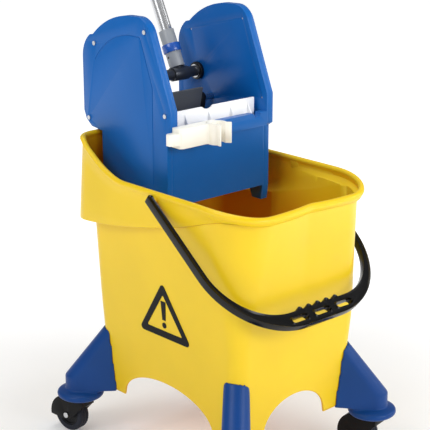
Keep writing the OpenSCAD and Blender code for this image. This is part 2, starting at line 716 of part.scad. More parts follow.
// ---- Lever and its gears ----
module on_shaft(x) {
    placed() translate([x, shaft_y, shaft_z]) children();
}
module along_lever() {
    on_shaft(lever_x) rotate([-lever_lean, 0, 0]) children();
}
module lever_shaft() {
    color("#3a3d42") placed() across(0, shaft_y, shaft_z, shaft_r, 2 * (gear_x0 + gear_w));
}
yoke_r = shaft_r + 2.5;
sleeve_r = tube_r + 2.5;
socket_from = yoke_r;
socket_to = 78;
module lever_yoke() {
    color("#2a2d33") difference() {
        union() {
            on_shaft(lever_x) rotate([0, 90, 0]) cylinder(r = yoke_r, h = 34, center = true);
            along_lever() cylinder(r = tube_r - 1.6, h = 46);
        }
        on_shaft(lever_x) rotate([0, 90, 0]) cylinder(r = shaft_r, h = 60, center = true);
        along_lever() translate([0, 0, 30]) rotate([0, 90, 0]) cylinder(r = 2 + fit, h = 60, center = true);
    }
}
module lever_socket() {
    color("silver") along_lever() difference() {
        translate([0, 0, socket_from]) cylinder(r = sleeve_r, h = socket_to - socket_from);
        cylinder(r = tube_r, h = 200);
        translate([0, 0, 30]) rotate([0, 90, 0]) cylinder(r = 2 + fit, h = 60, center = true);
        rotate([0, 90, 0]) rotate([lever_lean, 0, 0]) cylinder(r = yoke_r + fit, h = 60, center = true);
    }
}
module lock_ring() {
    color("mediumblue") along_lever() translate([0, 0, 38]) difference() {
        cylinder(r = sleeve_r + 2.5, h = 15);
        translate([0, 0, -1]) cylinder(r = sleeve_r, h = 20);
    }
}
module socket_screw() {
    color("black") along_lever() translate([0, 0, 30]) rotate([0, 90, 0]) {
        cylinder(r = 2, h = 2 * sleeve_r, center = true);
        translate([0, 0, sleeve_r]) cylinder(r = 3.4, h = 1.6);
    }
}
tube_wall = 1.6;
tube_from = 20;
module lever_tube() {
    color("gainsboro") along_lever() difference() {
        translate([0, 0, tube_from]) cylinder(r = tube_r, h = lever_len - grip_r - tube_from);
        translate([0, 0, tube_from - 1]) cylinder(r = tube_r - tube_wall, h = lever_len);
        translate([0, 0, 30]) rotate([0, 90, 0]) cylinder(r = 2 + fit, h = 60, center = true);
    }
}
grip_len = 115;
module lever_grip() {
    color("#1a1a1a") along_lever() difference() {
        union() {
            translate([0, 0, lever_len - grip_len]) cylinder(r = grip_r, h = grip_len - grip_r);
            translate([0, 0, lever_len - grip_r]) sphere(r = grip_r);
        }
        translate([0, 0, lever_len - grip_len - 1]) cylinder(r = tube_r, h = grip_len - grip_r + 1);
    }
}

// A gear outline with straight-flanked teeth; turn places the first tooth
backlash = 0.55;
function gear_tooth(pitch_r, a) = let (
        top = pitch_r + gear_m * 0.9,
        root = pitch_r - gear_m * 1.2,
        half = gear_m * PI / 4 - backlash,
        deg = 180 / PI)
    [[root, a - deg * half * 1.55 / root], [top, a - deg * half * 0.55 / top],
     [top, a + deg * half * 0.55 / top], [root, a + deg * half * 1.55 / root]];
function polar_points(list) = [for (p = list) [p[0] * cos(p[1]), p[0] * sin(p[1])]];
module gear_outline(teeth, turn) {
    pitch_r = gear_m * teeth / 2;
    polygon(polar_points([for (k = [0:teeth - 1]) each gear_tooth(pitch_r, turn + 360 * k / teeth)]));
}
gear_x0 = cover_in + 1;                          // the gears turn inside the side housings
gear_w = housing_t - 2 * sheet - 2;
toward_pivot = 180 + pivot_fall;                 // from the shaft to the press pivot, in side view
module gear_slab(s, x0, w, y, z) {
    placed() translate([s > 0 ? x0 : -x0 - w, y, z]) rotate([90, 0, 90]) linear_extrude(height = w) children();
}
module pinion(s) {
    color("#17181a") difference() {
        gear_slab(s, gear_x0, gear_w, shaft_y, shaft_z) gear_outline(pinion_teeth, toward_pivot);
        placed() across(s * gear_x0, shaft_y, shaft_z, shaft_r, 60);
    }
}
module left_pinion() { pinion(-1); }
module right_pinion() { pinion(1); }
module shaft_rings() {
    color("silver") placed() for (s = [-1, 1]) difference() {
        across(s * (side_in - bush_flange_t - 1.2), shaft_y, shaft_z, shaft_r + 2, 1.4);
        across(s * side_in, shaft_y, shaft_z, shaft_r, 30);
    }
}

// ---- Press plate, hung on a rod and swung by the two sectors ----
module at_pivot(tilt = press_tilt) {
    placed() translate([0, pivot_y, pivot_z]) rotate([tilt, 0, 0]) children();
}
press_half = side_in - 36;
press_rise = 25;
press_front = -rod_r - 6;
module rear_press_plate() {
    color("#55585c") at_pivot() difference() {
        union() {
            box(-press_half, press_half, press_front, press_front + 4, -press_drop, press_rise);
            for (k = [-2:2]) box(20 * k - 1.5, 20 * k + 1.5, press_front + 3, rod_r + 2, -press_drop + 6, 8);
            for (k = [-1:2]) box(20 * k - 17, 20 * k - 3, press_front + 3, rod_r + 2, -7, 7);
            for (z = [-100:20:-20])
                box(-press_half, press_half, press_front - 2, press_front + eps, z, z + 3);
        }
        rotate([0, 90, 0]) cylinder(r = rod_r, h = 300, center = true);
    }
}
module press_rod() {
    color("silver") placed() across(0, pivot_y, pivot_z, rod_r, 2 * (gear_x0 + gear_w));
}
sector_half = 62;
module sector_shape() {
    pitch_r = gear_m * sector_teeth / 2;
    toward_shaft = pivot_fall;
    difference() {
        union() {
            intersection() {
                gear_outline(sector_teeth, toward_shaft + 180 / sector_teeth);
                polygon([[0, 0], turned([0, 0], 80, toward_shaft - 26),
                         turned([0, 0], 80, toward_shaft + sector_half)]);
            }
            circle(r = rod_r + 5);
        }
        circle(r = rod_r);
    }
}
module sector(s) {
    color("#17181a") gear_slab(s, gear_x0, gear_w, pivot_y, pivot_z) sector_shape();
}
module left_sector() { sector(-1); }
module right_sector() { sector(1); }
// Side arms that join the press plate to the rod
arm_w = 13;
module press_arm(s) {
    color("#17181a") at_pivot() difference() {
        slab(s > 0 ? press_half : -press_half - arm_w, s > 0 ? press_half + arm_w : -press_half)
            polygon(concat(arc([0, 0], 11, 150, -60), arc([press_front + 11, -48], 8, -20, -90),
                [[press_front + 2, -56], [press_front, -52]]));
        rotate([0, 90, 0]) cylinder(r = rod_r, h = 300, center = true);
    }
}
module left_press_arm() { press_arm(-1); }
module right_press_arm() { press_arm(1); }

bucket();
side_signs();
bail_bushes();
foot_bolts();
foot_front_left();
foot_front_right();
foot_rear_left();
foot_rear_right();
castor_stem_front_left();
castor_stem_front_right();
castor_stem_rear_left();
castor_stem_rear_right();
castor_fork_front_left();
castor_fork_front_right();
castor_fork_rear_left();
castor_fork_rear_right();
axle_front_left();
axle_front_right();
axle_rear_left();
axle_rear_right();
wheel_hub_front_left();
wheel_hub_front_right();
wheel_hub_rear_left();
wheel_hub_rear_right();
tyre_front_left();
tyre_front_right();
tyre_rear_left();
tyre_rear_right();
bail();
wringer_casing();
left_cover();
right_cover();
cover_screws();
front_press_plate();
drain_grid();
shaft_bushes();
return_spring();
handle_clip();
clip_screws();
lever_shaft();
lever_yoke();
lever_socket();
lock_ring();
lever_tube();
lever_grip();
socket_screw();
left_pinion();
right_pinion();
shaft_rings();
rear_press_plate();
press_rod();
left_sector();
right_sector();
left_press_arm();
right_press_arm();
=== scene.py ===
# %% [markdown]
# # A mop bucket with a press wringer
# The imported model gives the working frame: where each part sits and what moves with what.
# Everything here is built around it in metres, so a piece needs no fitting.

# %% Load the frame
import json
import math

import bmesh
import bpy
from mathutils import Matrix, Vector


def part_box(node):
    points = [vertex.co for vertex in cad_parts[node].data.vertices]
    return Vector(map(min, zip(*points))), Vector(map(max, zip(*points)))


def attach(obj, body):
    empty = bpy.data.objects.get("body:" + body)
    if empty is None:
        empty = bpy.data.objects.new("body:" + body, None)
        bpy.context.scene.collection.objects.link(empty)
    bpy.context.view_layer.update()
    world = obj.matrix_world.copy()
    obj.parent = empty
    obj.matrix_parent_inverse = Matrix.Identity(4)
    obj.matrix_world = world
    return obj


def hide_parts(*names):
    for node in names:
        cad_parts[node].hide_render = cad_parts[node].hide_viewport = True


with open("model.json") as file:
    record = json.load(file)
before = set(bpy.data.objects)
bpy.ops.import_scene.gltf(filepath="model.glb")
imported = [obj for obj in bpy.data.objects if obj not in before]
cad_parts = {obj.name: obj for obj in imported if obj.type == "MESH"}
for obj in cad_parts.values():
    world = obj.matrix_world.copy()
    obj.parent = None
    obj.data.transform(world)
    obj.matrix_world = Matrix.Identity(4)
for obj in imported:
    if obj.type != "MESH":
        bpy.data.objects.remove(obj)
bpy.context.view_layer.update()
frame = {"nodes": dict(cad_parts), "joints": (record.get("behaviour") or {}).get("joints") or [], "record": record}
NODES = frame["nodes"]
MM = 0.001
CORNERS = ["front_left", "front_right", "rear_left", "rear_right"]

# %% [markdown]
# ## Camera
# A long lens from about two metres, at the height of a table, keeps the tank's sides nearly parallel.
# The tank's middle is the point between the castor stems, so the aim is worked out from those.

# %% Camera
def middle(*names):
    corners = [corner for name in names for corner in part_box(name)]
    lo = Vector(min(c[i] for c in corners) for i in range(3))
    hi = Vector(max(c[i] for c in corners) for i in range(3))
    return (lo + hi) / 2


HEADING, TILT = math.radians(42.63), math.radians(17.0)    # left of straight ahead, and down
EYE = Vector((-1.4641, -1.5672, 1.0671))                   # measured from the tank's middle on the floor
LENS, SENSOR = 113.3, 36
tank_y = middle(*["castor_stem_" + c for c in CORNERS]).y
look = Vector((math.sin(HEADING) * math.cos(TILT), math.cos(HEADING) * math.cos(TILT), -math.sin(TILT)))
camera = bpy.data.objects.new("camera", bpy.data.cameras.new("camera"))
camera.data.sensor_width = SENSOR
camera.data.lens = LENS
camera.location = EYE + Vector((0, tank_y, 0))
camera.rotation_euler = look.to_track_quat("-Z", "Y").to_euler()
bpy.context.scene.collection.objects.link(camera)
bpy.context.scene.camera = camera
print("camera at", [round(v, 3) for v in camera.location])

# %% [markdown]
# ## Floor and light
# A studio sweep: a pale floor, four soft panels, and a bright even surround. The left panel
# lights the long side wall, the front and right ones light the pouring front, and the top one
# opens up the inside of the tank. Panels as wide as the object give its plastic broad soft highlights.

# %% Floor and lights
def link(name, mesh):
    piece = bpy.data.objects.new(name, mesh)
    bpy.context.scene.collection.objects.link(piece)
    return piece


def plane(name, size, z):
    mesh = bpy.data.meshes.new(name)
    half = size / 2
    corners = [(-half, -half, z), (half, -half, z), (half, half, z), (-half, half, z)]
    mesh.from_pydata(corners, [], [(0, 1, 2, 3)])
    return link(name, mesh)


floor = plane("floor", 30, 0)


def panel(name, place, width, height, power):
    light = bpy.data.lights.new(name, "AREA")
    light.shape = "RECTANGLE"
    light.size = width
    light.size_y = height
    light.energy = power
    lamp = bpy.data.objects.new(name, light)
    lamp.location = place
    lamp.rotation_euler = (AIM - Vector(place)).to_track_quat("-Z", "Y").to_euler()
    bpy.context.scene.collection.objects.link(lamp)


AIM = Vector((0, 0, 0.45))
panel("left_panel", (-2.2, -0.2, 2.3), 1.2, 1.2, 30)
panel("front_panel", (0.5, -2.7, 1.5), 1.6, 1.0, 38)
panel("right_panel", (2.2, -1.5, 1.3), 0.8, 1.4, 14)
panel("top_panel", (0.2, 0.4, 3.0), 1.4, 1.4, 22)
SURROUND = 0.34
world = bpy.data.worlds.new("surround")
world.use_nodes = True
background = world.node_tree.nodes["Background"]
background.inputs["Color"].default_value = (1, 1, 1, 1)
seen = world.node_tree.nodes.new("ShaderNodeLightPath")      # the surround itself is seen as plain white
strength = world.node_tree.nodes.new("ShaderNodeMath")
strength.operation = "MULTIPLY_ADD"
strength.inputs[1].default_value = 1 - SURROUND
strength.inputs[2].default_value = SURROUND
world.node_tree.links.new(seen.outputs["Is Camera Ray"], strength.inputs[0])
world.node_tree.links.new(strength.outputs[0], background.inputs["Strength"])
bpy.context.scene.world = world
bpy.context.scene.view_settings.view_transform = "Standard"
print("four panels and a surround")

# %% [markdown]
# ## Finishes
# Each finish is one node tree. Large soft noise makes the colour uneven, as moulded plastic is;
# small noise gives the sparked grain of the mould; thin stretched noise gives rubbing marks.
# Sharp edges go a little paler where hands and floors have rubbed them.

# %% Tools for finishes
def wire(tree, source, target):
    tree.links.new(source, target)


def noise(tree, scale, detail=4.0, stretch=(1, 1, 1)):
    place = tree.nodes.new("ShaderNodeTexCoord")
    squeeze = tree.nodes.new("ShaderNodeMapping")
    squeeze.inputs["Scale"].default_value = stretch
    texture = tree.nodes.new("ShaderNodeTexNoise")
    texture.inputs["Scale"].default_value = scale
    texture.inputs["Detail"].default_value = detail
    wire(tree, place.outputs["Object"], squeeze.inputs["Vector"])
    wire(tree, squeeze.outputs["Vector"], texture.inputs["Vector"])
    return texture.outputs["Fac"]


def remap(tree, value, low, high, to_low, to_high):
    node = tree.nodes.new("ShaderNodeMapRange")
    node.inputs["From Min"].default_value = low
    node.inputs["From Max"].default_value = high
    node.inputs["To Min"].default_value = to_low
    node.inputs["To Max"].default_value = to_high
    wire(tree, value, node.inputs["Value"])
    return node.outputs["Result"]


def tint(tree, share, under, over):
    node = tree.nodes.new("ShaderNodeMix")
    node.data_type = "RGBA"
    for socket, value in ((node.inputs[6], under), (node.inputs[7], over)):
        if isinstance(value, tuple):
            socket.default_value = value
        else:
            wire(tree, value, socket)
    wire(tree, share, node.inputs[0])
    return node.outputs[2]


def relief(tree, height, depth, under=None):
    node = tree.nodes.new("ShaderNodeBump")
    node.inputs["Strength"].default_value = 1.0
    node.inputs["Distance"].default_value = depth
    wire(tree, height, node.inputs["Height"])
    if under is not None:
        wire(tree, under, node.inputs["Normal"])
    return node.outputs["Normal"]


def shade(colour, factor):
    return tuple(min(1.0, c * factor) for c in colour[:3]) + (1.0,)


def finish(name, colour, rough, grain=0.00003, grain_size=1400, patch=0.1, wear=0.25, metal=0.0, coat=0.0,
           rubbed=(1, 1, 14), sheen=0.0, level=0.5):
    material = bpy.data.materials.new(name)
    material.use_nodes = True
    tree = material.node_tree
    shader = tree.nodes["Principled BSDF"]
    shader.inputs["Metallic"].default_value = metal
    shader.inputs["Coat Weight"].default_value = coat
    shader.inputs["Coat Roughness"].default_value = 0.15
    shader.inputs["Sheen Weight"].default_value = sheen
    shader.inputs["Specular IOR Level"].default_value = level
    patches = remap(tree, noise(tree, 9, 3), 0.3, 0.7, 0, 1)
    mottled = tint(tree, patches, shade(colour, 1 - patch), shade(colour, 1 + patch * 0.6))
    shape = tree.nodes.new("ShaderNodeNewGeometry")
    edges = remap(tree, shape.outputs["Pointiness"], 0.53, 0.62, 0, wear)
    worn = tint(tree, edges, mottled, tuple(0.55 * c + 0.4 * max(colour) for c in colour[:3]) + (1.0,))
    wire(tree, worn, shader.inputs["Base Color"])
    marks = noise(tree, 60, 6, rubbed)
    wire(tree, remap(tree, marks, 0.35, 0.75, rough * 0.93, min(1, rough * 1.15)), shader.inputs["Roughness"])
    fine = relief(tree, noise(tree, grain_size, 2), grain)
    wire(tree, relief(tree, noise(tree, 55, 2), grain * 4, fine), shader.inputs["Normal"])
    return material


# %% [markdown]
# ## The finishes of this bucket
# Polyethylene is soft and waxy, so the tank shines in wide blurred patches; the bail and the clip
# are harder and glossier. The lever's tube is drawn aluminium, with fine lines along it.

# %% Every finish by its slot
FINISH = {
    "tank_yellow": finish("tank_yellow", (0.84, 0.57, 0.008), 0.34, patch=0.04, wear=0.12,
                          grain_size=900, level=0.36, rubbed=(2, 2, 6)),
    "sign_black": finish("sign_black", (0.006, 0.006, 0.007), 0.5, patch=0.1, wear=0, level=0.15),
    "steel": finish("steel", (0.62, 0.63, 0.65), 0.28, metal=1.0, rubbed=(20, 20, 20)),
    "foot_blue": finish("foot_blue", (0.005, 0.052, 0.23), 0.38, patch=0.1, wear=0.25, level=0.2,
                        rubbed=(2, 2, 6)),
    "fork_black": finish("fork_black", (0.003, 0.003, 0.0035), 0.35, wear=0.06, level=0.15),
    "hub_grey": finish("hub_grey", (0.008, 0.009, 0.011), 0.45, wear=0.1, level=0.2),
    "tyre_grey": finish("tyre_grey", (0.014, 0.017, 0.028), 0.6, grain=0.00008, patch=0.25, wear=0.1,
                        level=0.25),
    "bail_black": finish("bail_black", (0.002, 0.002, 0.0024), 0.18, grain=0.00001,
                         wear=0.03, level=0.3, rubbed=(2, 2, 2)),
    "wringer_blue": finish("wringer_blue", (0.003, 0.115, 0.42), 0.32, patch=0.06, wear=0.06, level=0.2,
                           rubbed=(2, 2, 5)),
    "plate_white": finish("plate_white", (0.97, 0.97, 0.97), 0.4, patch=0.03, wear=0),
    "clip_ivory": finish("clip_ivory", (0.96, 0.94, 0.85), 0.3, patch=0.03, wear=0),
    "shaft_steel": finish("shaft_steel", (0.05, 0.055, 0.065), 0.35, metal=0.5, rubbed=(14, 1, 1)),
    "socket_grey": finish("socket_grey", (0.34, 0.36, 0.38), 0.4, patch=0.1),
    "ring_blue": finish("ring_blue", (0.015, 0.1, 0.45), 0.25, coat=0.2),
    "tube_aluminium": finish("tube_aluminium", (0.74, 0.75, 0.77), 0.24, metal=1.0, rubbed=(60, 60, 1),
                             wear=0),
    "grip_black": finish("grip_black", (0.018, 0.018, 0.02), 0.7, grain=0.0001, wear=0.1),
    "screw_black": finish("screw_black", (0.02, 0.02, 0.022), 0.4, metal=0.6),
    "gear_black": finish("gear_black", (0.005, 0.005, 0.006), 0.35, wear=0.15, level=0.3),
    "plate_grey": finish("plate_grey", (0.09, 0.098, 0.11), 0.5, patch=0.12),
    "floor": finish("floor", (0.82, 0.82, 0.82), 0.6, grain=0.00002, patch=0.01, wear=0, level=0.2),
}
SLOT = {part["node"]: part["material_slot"] for part in frame["record"]["subparts"]}
BODY = {node: body for body, members in frame["record"]["behaviour"]["bodies"].items() for node in members}
floor.data.materials.append(FINISH["floor"])
print(len(FINISH), "finishes")

# %% [markdown]
# ## Two finishes that answer to their place
# A real studio floor curves up behind the object and fades to white; a floor that glows a little more
# with distance gives the same fade with no visible horizon. Inside the tank, light bounces from yellow
# wall to yellow wall and turns orange; this is painted into the deep places as painted bounce shade.

# %% Glow of the floor, and painted bounce shade inside the tank
def sweep_glow(material, near, far):
    """The floor brightens away from the bucket, as a lit studio sweep does."""
    tree = material.node_tree
    shader = tree.nodes["Principled BSDF"]
    place = tree.nodes.new("ShaderNodeTexCoord")
    distance = tree.nodes.new("ShaderNodeVectorMath")
    distance.operation = "LENGTH"
    wire(tree, place.outputs["Object"], distance.inputs[0])
    shader.inputs["Emission Color"].default_value = (1, 1, 1, 1)
    glow = remap(tree, distance.outputs["Value"], 0.35, 1.3, near, far)
    wire(tree, glow, shader.inputs["Emission Strength"])


def paint_bounce_shade_inside(material, painted_bounce_colour):
    """Painted bounce light and shade: where the tank's walls are close, its colour is mixed towards orange, as
    light turns orange bouncing between them.
    """
    tree = material.node_tree
    shader = tree.nodes["Principled BSDF"]
    shader.inputs["Subsurface Weight"].default_value = 0.1
    shader.inputs["Subsurface Radius"].default_value = (0.012, 0.006, 0.001)
    shader.inputs["Subsurface Scale"].default_value = 1.0
    open_sky = tree.nodes.new("ShaderNodeAmbientOcclusion")
    open_sky.inputs["Distance"].default_value = 0.35
    colour = shader.inputs["Base Color"].links[0].from_socket
    # painted bounce shade: the base colour goes orange where the walls are close
    painted_shade_share = remap(tree, open_sky.outputs["AO"], 0.1, 0.5, 1, 0)
    wire(tree, tint(tree, painted_shade_share, colour, painted_bounce_colour), shader.inputs["Base Color"])


sweep_glow(FINISH["floor"], 0.2, 0.72)
# painted bounce light and shade inside the tank: deep places are mixed towards orange
paint_bounce_shade_inside(FINISH["tank_yellow"], (0.8, 0.33, 0.01, 1))
print("the floor fades to white, and the tank's inside is warmer")

# %% [markdown]
# ## Moulded edges
# Nothing that comes out of a mould has a knife edge. A copy of each part gets its flat faces joined again,
# then a small round on every corner, so that edges catch the light.

# %% Round the edges of a part
def smooth(piece, angle=35):
    piece.data.shade_smooth()
    piece.data.set_sharp_from_angle(angle=math.radians(angle))


def apply_modifiers(piece):
    shown = piece.evaluated_get(bpy.context.evaluated_depsgraph_get())
    mesh = bpy.data.meshes.new_from_object(shown)
    piece.modifiers.clear()
    piece.data = mesh


def settle(piece, node, *more):
    """The piece takes the finish, the body and the place of these CAD nodes."""
    piece.data.materials.clear()
    piece.data.materials.append(FINISH[SLOT[node]])
    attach(piece, BODY[node])
    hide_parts(node, *more)
    return piece


def part_mesh(node, name):
    mesh = NODES[node].data.copy()
    mesh.name = name
    form = bmesh.new()
    form.from_mesh(mesh)
    bmesh.ops.remove_doubles(form, verts=form.verts, dist=1e-6)
    bmesh.ops.dissolve_limit(form, angle_limit=math.radians(1.0), verts=form.verts, edges=form.edges)
    form.to_mesh(mesh)
    form.free()
    return mesh


def moulded(node, edge=0.8 * MM, steps=2, angle=40):
    piece = link(node + "_moulded", part_mesh(node, node + "_moulded"))
    bevel = piece.modifiers.new("edges", "BEVEL")
    bevel.width = edge
    bevel.segments = steps
    bevel.limit_method = "ANGLE"
    bevel.angle_limit = math.radians(angle)
    apply_modifiers(piece)
    smooth(piece)
    return settle(piece, node)


EDGES = {
    "wringer_casing": 0.9, "left_cover": 2.0, "right_cover": 2.0, "front_press_plate": 0.8, "drain_grid": 0.5,
    "handle_clip": 1.2, "rear_press_plate": 0.8, "left_sector": 0.5, "right_sector": 0.5,
    "left_pinion": 0.5, "right_pinion": 0.5, "lever_yoke": 0.8, "lever_socket": 0.6, "lock_ring": 1.2,
    "lever_shaft": 0.6, "press_rod": 0.5, "bail_bushes": 0.8, "shaft_bushes": 1.6,
    "left_press_arm": 1.2, "right_press_arm": 1.2,
}
for corner in CORNERS:
    EDGES["castor_fork_" + corner] = 0.8
    EDGES["wheel_hub_" + corner] = 0.5
    EDGES["axle_" + corner] = 0.5
    EDGES["castor_stem_" + corner] = 0.4
for node, edge in EDGES.items():
    moulded(node, edge * MM)
print(len(EDGES), "parts with rounded edges")

# %% [markdown]
# ## Tank
# The tank is one thin moulding. It could be a box with a subdivision surface, but its corners change
# from tight at the foot to wide at the rim, so its walls are drawn as level rings instead: each ring is
# a rounded box, and the rings are skinned from the hollow foot, up the outside, over the rolled rim
# and down the inside. Sizes are in millimetres.

# %% Tank sizes
def blend(a, b, t):
    return a + (b - a) * t


def share(t):
    return max(0.0, min(1.0, t))


LEG_Z, FLOOR_Z, RIM_Z, COLLAR_Z = 90, 160, 486, 397
HALF_W, HALF_L = 128.5, 167                      # half width and length of the walls at the leg tips
SIDE_LEAN, FRONT_LEAN, REAR_LEAN = 0.055, 0.058, 0.052
FRONT_CURVE = 0.00007                            # the front leans out faster towards the rim
CORNER_Z, LOW_CORNER, REAR_CORNER = 260, 26, 40  # above CORNER_Z the corners open out
RIM_CORNER_X, RIM_CORNER_Y = 70, 90              # front corners at the rim
WALL, BOW, GROOVE = 4, 0.8, 6                    # thickness, swelling of a wall, crease down the front
CREASE = 0.93                                    # the crease turns over this close to its bottom
CORNER_STEPS, SIDE_STEPS, FRONT_STEPS, REAR_STEPS = 16, 60, 60, 30


def wall_x(z):
    return HALF_W + SIDE_LEAN * (z - LEG_Z)


def wall_front(z):
    return HALF_L + FRONT_LEAN * (z - LEG_Z) + FRONT_CURVE * (z - LEG_Z) ** 2


def wall_rear(z):
    return HALF_L + REAR_LEAN * (z - LEG_Z)


def roundness(z):
    return share((z - CORNER_Z) / (RIM_Z - CORNER_Z))


rim_length = wall_front(RIM_Z) + wall_rear(RIM_Z)
print("walls lean out to a rim of", round(2 * wall_x(RIM_Z)), "by", round(rim_length))

# %% [markdown]
# ## One ring of the tank
# A ring runs round the tank in one direction with the same number of points at every height, so that
# neighbouring rings can be joined point to point. The front carries a shallow crease for pouring.

# %% Ring
def quarter(cx, cy, rx, ry, start):
    turns = [math.radians(start + 90 * k / CORNER_STEPS) for k in range(CORNER_STEPS + 1)]
    return [(cx + rx * math.cos(a), cy + ry * math.sin(a)) for a in turns]


def side(x, start, end):
    points = []
    for k in range(1, SIDE_STEPS):
        t = k / SIDE_STEPS
        points.append((x + math.copysign(BOW, x) * 4 * t * (1 - t), blend(start, end, t)))
    return points


def front(x, y, groove):
    points = []
    for k in range(1, FRONT_STEPS):
        px = blend(-x, x, k / FRONT_STEPS)
        t = 1 - abs(px) / x
        crease = t * t
        if t > CREASE:
            crease = CREASE ** 2 + 2 * CREASE * (t - CREASE) - CREASE / (1 - CREASE) * (t - CREASE) ** 2
        points.append((px, y + groove * crease - BOW * t * (2 - t)))
    return points


def rear(x, y):
    return [(blend(x, -x, k / REAR_STEPS), y) for k in range(1, REAR_STEPS)]


def ring(x, f, r, rx, ry, rr, groove):
    return (quarter(x - rr, r - rr, rr, rr, 0) + rear(x - rr, r) + quarter(rr - x, r - rr, rr, rr, 90)
            + side(-x, r - rr, ry - f) + quarter(rx - x, ry - f, rx, ry, 180) + front(x - rx, -f, groove)
            + quarter(x - rx, ry - f, rx, ry, 270) + side(x, ry - f, r - rr))


def wall_ring(z, out=0.0):
    t = roundness(z)
    return ring(wall_x(z) + out, wall_front(z) + out, wall_rear(z) + out,
                blend(LOW_CORNER, RIM_CORNER_X, t) + out, blend(LOW_CORNER, RIM_CORNER_Y, t) + out,
                blend(LOW_CORNER, REAR_CORNER, t) + out, GROOVE * t)


GUIDE = wall_ring(COLLAR_Z)
RING_CACHE = {}


def wall_ring_point(z, out, k):
    key = (round(z, 1), out)
    if key not in RING_CACHE:
        RING_CACHE[key] = wall_ring(key[0], out)
    return RING_CACHE[key][k]


def level(z, out=0.0):
    return [(x, y, z) for x, y in wall_ring(z, out)]


print("each ring has", len(GUIDE), "points")

# %% [markdown]
# ## Rim and collar
# Behind the wringer the rim rises into a collar that stands out from the wall, and at the pouring end it
# dips. Both are heights that change along the tank, so a power of the distance along it gives each
# point of the ring its own height; a power near two starts the rise gently, as the real edge does.

# %% Rim and collar
COLLAR_RISE, COLLAR_FROM, COLLAR_RUN = 54, 68, 107      # the collar's height, where it starts, its length
POUR_DIP, DIP_FROM, DIP_RUN = 14, -95, 108
LOW_RISE, LOW_FROM, LOW_RUN = 64, 190, 340              # the collar's lower edge climbs towards the front
RIM_OUT, COLLAR_OUT, COLLAR_REAR = 9, 17, 24            # how far each stands out from the wall
RIM_X = wall_x(RIM_Z) + RIM_OUT
RIM_FRONT = wall_front(RIM_Z) + 1
RIM_REAR = wall_rear(COLLAR_Z) + COLLAR_OUT - 1


def rim_shape(x, front_y, rear_y, out):
    return ring(x + out, front_y + out, rear_y + out,
                RIM_CORNER_X + out, RIM_CORNER_Y + out, REAR_CORNER + out, GROOVE)


def rim_ring(out):
    return rim_shape(RIM_X, RIM_FRONT, RIM_REAR, out)


def collar_ring(out):
    rear_y = wall_rear(COLLAR_Z) + COLLAR_REAR
    return rim_shape(wall_x(COLLAR_Z) + COLLAR_OUT, wall_front(COLLAR_Z), rear_y, out)


def rim_top(y):
    rise = COLLAR_RISE * share((y - COLLAR_FROM) / COLLAR_RUN) ** 1.7
    return RIM_Z + rise - POUR_DIP * share((DIP_FROM - y) / DIP_RUN) ** 2


def low_edge(y, lift):
    height = COLLAR_Z + LOW_RISE * share((LOW_FROM - y) / LOW_RUN) ** 1.8 + lift
    return min(height, rim_top(y) - 17 - (1 if lift else 0))


def collar_share(y):
    """The collar stands out in full at the back and melts into the wall at the front."""
    t = share((y + 150) / 230)
    return 0.08 + 0.92 * t * t * (3 - 2 * t)


def lower(out, lift, t_scale=1.0, fillet=0.0):
    """The collar's lower ring. In front of the wringer's feet a fillet eases the ledge inside."""
    points = []
    outer = collar_ring(out)
    for k, (_, y) in enumerate(GUIDE):
        z = low_edge(y, lift)
        z += min(fillet * share((60 - y) / 90), max(0, rim_top(y) - 22 - z))
        x0, y0 = wall_ring_point(z, out, k)
        t = collar_share(y) * t_scale
        points.append((blend(x0, outer[k][0], t), blend(y0, outer[k][1], t), z))
    return points


def under_rim(out, drop):
    return [(x, y, rim_top(y) - drop) for x, y in rim_ring(out)]


print("rim from", RIM_Z - POUR_DIP, "at the front to", RIM_Z + COLLAR_RISE, "at the back")

# %% [markdown]
# ## Arches in the skirt
# Below its floor the tank is open, and its skirt is cut away in four half ellipses between the feet.
# Lifting the lowest ring along the ellipses gives a clean edge, where cutting would leave ragged faces.

# %% Arches
ARCH_TOP, SKIRT_TOP = 147, 156
SIDE_ARCH, END_ARCH = HALF_L - 55, HALF_W - 58          # half widths


def arch_height(k):
    x, y = wall_ring_point(LEG_Z, 0.0, k)
    if abs(y) < SIDE_ARCH and abs(x) > 120:
        return (ARCH_TOP - LEG_Z) * math.sqrt(1 - (y / SIDE_ARCH) ** 2)
    if abs(x) < END_ARCH and abs(y) > 150:
        return (ARCH_TOP - LEG_Z) * math.sqrt(1 - (x / END_ARCH) ** 2)
    return 0.0


ARCH = [arch_height(k) for k in range(len(GUIDE))]


def skirt(out, t, lift=0.0):
    points = []
    for k in range(len(GUIDE)):
        z = blend(LEG_Z + ARCH[k] + lift, SKIRT_TOP, t)
        points.append((*wall_ring_point(z, out, k), z))
    return points


print(sum(height > 0 for height in ARCH), "points of the lowest ring stand on an arch")

# %% [markdown]
# ## Skin of the tank
# The rings are listed in the order in which a finger would run over the moulding: up the inside of the
# skirt, over its edge, up the outside, round the rolled rim and down the inside to the floor.
# Rings lie close together where the surface turns, and far apart where it is straight.

# %% Tank skin
rings = [level(154, -WALL)]
rings += [skirt(-WALL, t, 1.2) for t in (0.8, 0.5, 0.2, 0)]
rings += [skirt(-3.3, 0, 0.3), skirt(-2, 0), skirt(-0.7, 0, 0.3)]
rings += [skirt(0, t, 1.2) for t in (0, 0.1, 0.25, 0.45, 0.7, 1)]
rings += [level(z) for z in (175, 200, 225, 250, 275, 300, 325, 350, 370)]
rings += [lower(0, 0, 0.0), lower(0, 0, 0.3), lower(0, 0, 0.7), lower(-1, 0), lower(-0.3, 0.4), lower(0, 1.4)]
BLEND_ROWS, RIM_H = 5, 14


def between(start, end, t):
    return [tuple(blend(a[i], b[i], t) for i in range(3)) for a, b in zip(start, end)]


